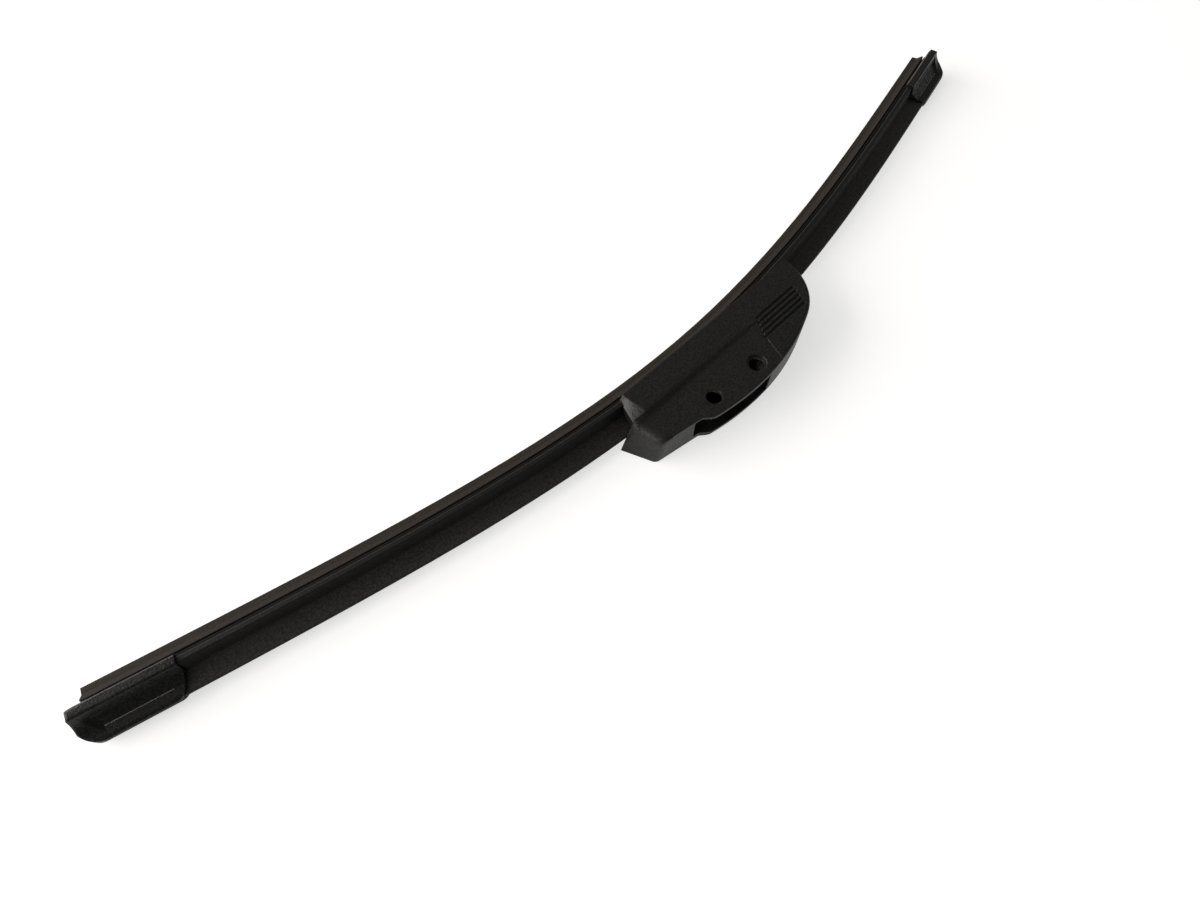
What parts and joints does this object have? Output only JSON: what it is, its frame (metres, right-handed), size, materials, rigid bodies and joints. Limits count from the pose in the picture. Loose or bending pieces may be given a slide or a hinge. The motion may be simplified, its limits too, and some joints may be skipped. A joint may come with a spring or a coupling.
{
  "type": "wiper blade",
  "caption": "Flat bowed wiper blade with a rubber lip on sprung rails, a leaning spoiler, end caps and a windowed connector housing with cross bores.",
  "frame": {"origin": "on the axis of the arm's pivot bore in the connector housing, where it meets the blade's middle plane", "axes": "+X along the blade towards the tail with the finger grip, +Y towards the glass, +Z along the pivot bore, up from the side that the blade lies on"},
  "size_m": [0.4826, 0.0794, 0.015],
  "materials": {
    "lip_rubber": "matt brownish black rubber",
    "spring_steel": "bare rolled spring steel",
    "spoiler_plastic": "semi-matt black extrusion",
    "cap_plastic": "fine-grained black moulding",
    "housing_plastic": "fine-grained black moulding"
  },
  "bodies": {
    "root": {"wiper_rubber": "lip_rubber", "spring_rail_front": "spring_steel", "spring_rail_back": "spring_steel", "spoiler_left": "spoiler_plastic", "spoiler_right": "spoiler_plastic", "end_cap_left": "cap_plastic", "end_cap_right": "cap_plastic", "connector_housing": "housing_plastic"}
  },
  "joints": []
}
